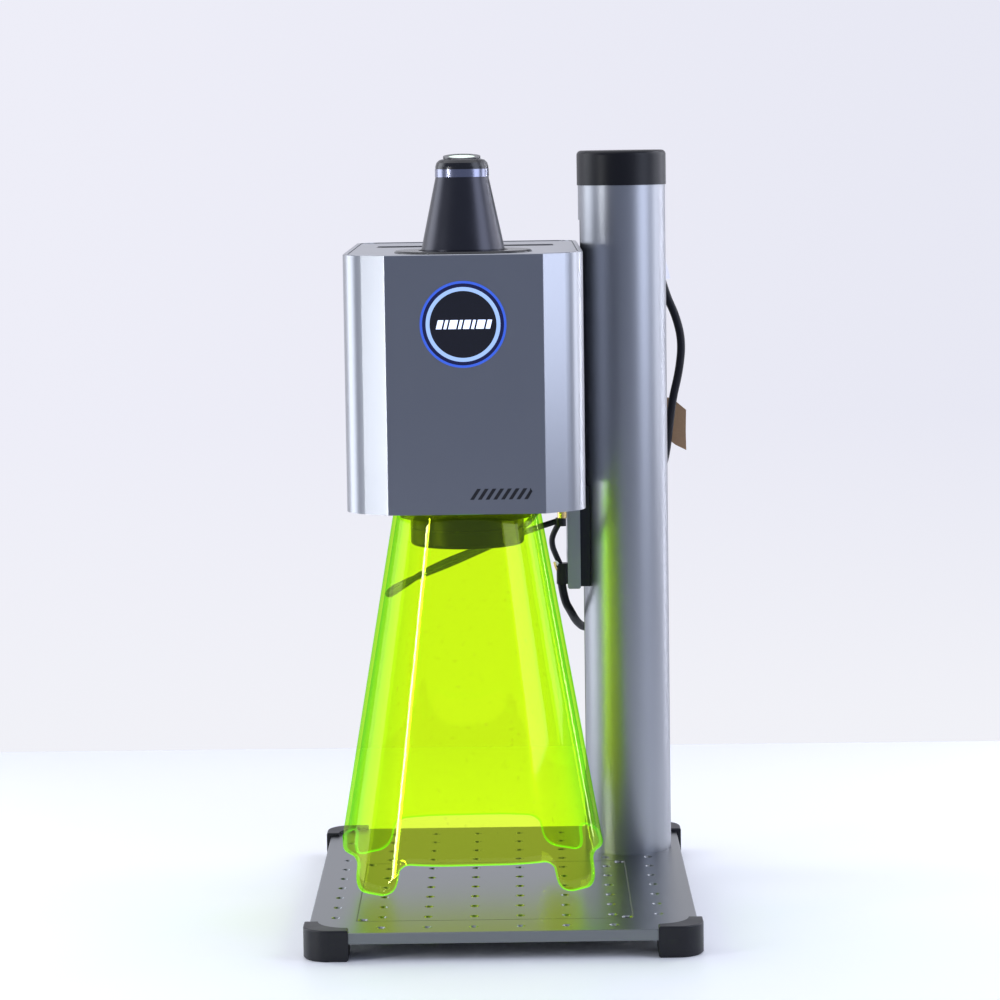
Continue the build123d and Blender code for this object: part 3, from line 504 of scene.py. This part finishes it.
def make_hood(m):
    """The flared see-through hood: thin walls with rounded edges at the top and round the arches."""
    bm = bmesh.new()
    columns = hood_ring_columns()

    def loop(height, inset):
        """Corners round the hood; height gives z from a column's lower end."""
        return [bm.verts.new(hood_point(*place, height(end), inset)) for *place, end in columns]

    def wall(inset):
        """Loops of a wall from its top to the arches' edge."""
        top = HOOD_TOP - HOOD_TOP_EDGE
        return [loop(lambda end: top + (end + HOOD_LIP - top) * k / HOOD_ROWS, inset)
                for k in range(HOOD_ROWS + 1)]

    outer, inner = wall(0.0), wall(HOOD_WALL)
    rim = [loop(lambda end: end + rise, HOOD_WALL * share) for share, rise in HOOD_RIM]
    lower_edge = [outer[-1], *rim, inner[-1]]
    crown = [loop(lambda end: HOOD_TOP, inset) for inset in (HOOD_TOP_EDGE, HOOD_WALL - HOOD_TOP_EDGE)]
    upper_edge = [outer[0], *crown, inner[0]]
    for index, loops in enumerate((outer, inner, lower_edge)):
        for first, second in zip(loops, loops[1:]):
            bridge(bm, first, second, index)
    for first, second in zip(upper_edge, upper_edge[1:]):
        bridge(bm, first, second, 2)
    hood = piece("hood_shell", bm, [m["hood_outer"], m["hood_inner"], m["hood_edge"]], "hood_body",
                 sharp=50)
    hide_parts("hood")


# ---------------------------------------------------------------- leads
UPPER_ROUTE = [(97.7, 101.5, 350), (100.5, 101.5, 340), (106, 99.5, 328), (109.4, 98, 313),
               (107.6, 97.5, 296), (103.4, 98, 279), (101.5, 101, 262), (99.5, 106, 244),
               (94.5, 111, 228), (85.8, 112.6, 214), (84.3, 113.6, 200)]
SPAN_ROUTE = [(84.3, 113.6, 200), (82.8, 114.6, 186), (79.5, 115.5, 170), (72.5, 115.5, 155),
              (61.5, 112.5, 144.5), (50.5, 104, 142), (45, 92, 148), (41.5, 79, 156),
              (37.6, 68, 164), (36, 60.5, 176)]
LINK_ROUTE = [(35, 59.5, 187), (32.6, 54, 193), (30.6, 46, 199), (30.6, 38, 206), (34.2, 31.5, 212.8)]
LOOP_ROUTE = [(33, 30, 214.8), (22, 29.5, 211.5), (8, 29, 206.5), (-9.2, 30, 200.6),
              (-27.5, 30.5, 194), (-43, 33, 186.6), (-55.5, 39.5, 177.5), (-63, 51, 171.2),
              (-66.2, 66, 169), (-64.8, 82, 169.6), (-58.6, 96, 171.6), (-47.5, 106, 174.8),
              (-32, 110.6, 180), (-14, 111.4, 187.6), (3.5, 110.2, 195.5), (17, 109.6, 204.5),
              (25.5, 110.6, 215.5), (29.2, 111, 228)]


TAIL_ROUTES = {"pale_plastic": [(34.6, 57.6, 184), (33.4, 56.6, 189), (32.4, 55.4, 192)],
               "brass": [(34.4, 58.2, 182), (32.6, 57.2, 184.5), (32.0, 56.6, 188)]}


def lead_curve(name, route, radius):
    data = bpy.data.curves.new(name, "CURVE")
    data.dimensions = "3D"
    data.bevel_depth, data.bevel_resolution = radius * MM, 5
    data.resolution_u = 10
    data.use_fill_caps = True
    spline = data.splines.new("NURBS")
    spline.points.add(len(route) - 1)
    for point, (x, y, z) in zip(spline.points, route):
        point.co = (x * MM, y * MM, z * MM, 1)
    spline.order_u = 3
    spline.use_endpoint_u = True
    obj = bpy.data.objects.new(name, data)
    bpy.context.scene.collection.objects.link(obj)
    return obj


def lead_mesh(name, route, radius, material):
    curve = lead_curve(name + "_route", route, radius)
    evaluated = curve.evaluated_get(bpy.context.evaluated_depsgraph_get())
    mesh = bpy.data.meshes.new_from_object(evaluated)
    bpy.data.objects.remove(curve)
    mesh.name = name
    obj = bpy.data.objects.new(name, mesh)
    bpy.context.scene.collection.objects.link(obj)
    mesh.materials.clear()
    mesh.materials.append(material)
    mesh.polygons.foreach_set("use_smooth", [True] * len(mesh.polygons))
    return obj


def make_leads(m):
    thick = lead_mesh("lead_thick", UPPER_ROUTE[:-1] + SPAN_ROUTE, THICK_LEAD_R, m["lead_black"])
    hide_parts("lead_upper", "lead_span")
    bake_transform(thick)
    for name, route, node in (("lead_thin_link", LINK_ROUTE, "lead_link"),
                              ("lead_thin_loop", LOOP_ROUTE, "lead_loop")):
        lead = lead_mesh(name, route, THIN_LEAD_R, m["lead_black"])
        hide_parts(node)
        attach(lead, "head")


def make_wire_tails(m):
    """Two short wire ends that stand out of the coupler beside the lead."""
    for name, mat in (("tail_white", "pale_plastic"), ("tail_yellow", "brass")):
        tail = lead_mesh(name, TAIL_ROUTES[mat], TAIL_R, m[mat])
        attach(tail, "head")


# ---------------------------------------------------------------- graphics and small trim, mm
BADGE_BARS = (3.0, 1.6, 4.2, 1.6, 3.4, 1.6, 4.2, 2.4)      # the bars' widths
BADGE_BARS_X, BAR_GAP, BAR_HEIGHT, BAR_LEAN = HEAD_X - 14.6, 1.0, 4.8, 1.2
BAR_FRONT, BAR_BACK = HEAD_FRONT - 0.55, HEAD_FRONT - 0.30
HATCH_X, HATCH_Z, HATCH_PITCH, HATCH_COUNT = -14.7, 241.3, 4.15, 8
HATCH_W, HATCH_HEIGHT, HATCH_LEAN = 2.1, 5.9, 3.9
HATCH_FRONT, HATCH_BACK = HEAD_FRONT - 0.06, HEAD_FRONT + 0.1
# the strip of painted highlight: its gap to the groove's walls, its top and its bottom
GLINT_GAP, GLINT_TOP, GLINT_BOTTOM = 0.06, PLATE_TOP - 0.08, PLATE_TOP - GROOVE_DEPTH + 0.02


def make_graphics(m):
    """Generic slanted bars: a lit row in the badge and a printed row on the front."""
    bm = bmesh.new()
    x = BADGE_BARS_X
    for width in BADGE_BARS:
        prism(bm, slanted(x, BADGE_Z - BAR_HEIGHT / 2, width, BAR_HEIGHT, BAR_LEAN), BAR_FRONT, BAR_BACK)
        x += width + BAR_GAP
    piece("badge_bars", bm, [m["glyph_light"]], "head", smooth=False)

    bm = bmesh.new()
    bars = [slanted(HATCH_X + HATCH_PITCH * k, HATCH_Z, HATCH_W, HATCH_HEIGHT, HATCH_LEAN)
            for k in range(HATCH_COUNT)]
    x, z = bars[-1][2]                     # the last bar has its upper right corner cut off
    bars[-1][2:3] = [(x - 1.4, z - 1.6), (x - 2.6, z)]
    for bar in bars:
        prism(bm, bar, HATCH_FRONT, HATCH_BACK)
    piece("front_hatch", bm, [m["ink"]], "head", smooth=False)


def make_groove_glint(m):
    """A painted highlight in the groove that outlines the work area: a matt grey strip sunk in it, with
    mitred corners, in place of the light that the groove's wall catches.
    """
    bm = bmesh.new()
    loops = []
    for inset, z in ((GLINT_GAP, GLINT_BOTTOM), (GLINT_GAP, GLINT_TOP),
                     (GROOVE_W - GLINT_GAP, GLINT_TOP), (GROOVE_W - GLINT_GAP, GLINT_BOTTOM)):
        side = FRAME_SIDE / 2 - inset
        loops.append([bm.verts.new((FRAME_X + sx * side, FRAME_Y + sy * side, z))
                      for sx, sy in ((-1, -1), (1, -1), (1, 1), (-1, 1))])
    for first, second in zip(loops, loops[1:] + loops[:1]):
        bridge(bm, first, second)
    piece("groove_glint", bm, [m["groove_glint_paint"]], "base", smooth=False)


def paint_nodes(m):
    """Every node that is shown gets its slot's finish; the knob's trim gets a finish of its own."""
    slots = {s["node"]: s["material_slot"] for s in frame["record"]["subparts"]}
    for name, obj in NODES.items():
        if not obj.hide_render:
            obj.data.materials.clear()
            obj.data.materials.append(m[OWN_FINISH.get(name, slots[name])])
    cap = NODES["knob_cap"]
    cap.data.materials.append(m["trim_slate"])
    trim_top = (KNOB_CAP_Z + 0.01) * MM
    for face in cap.data.polygons:
        if (cap.matrix_world @ face.center).z < trim_top:
            face.material_index = 1


bpy.context.scene.view_settings.view_transform = "Standard"
make_camera()
make_world()
make_floor()
for box in SOFTBOXES:
    softbox(*box)
mats = make_materials()
make_leads(mats)
make_hood(mats)
make_graphics(mats)
make_groove_glint(mats)
make_wire_tails(mats)
paint_nodes(mats)
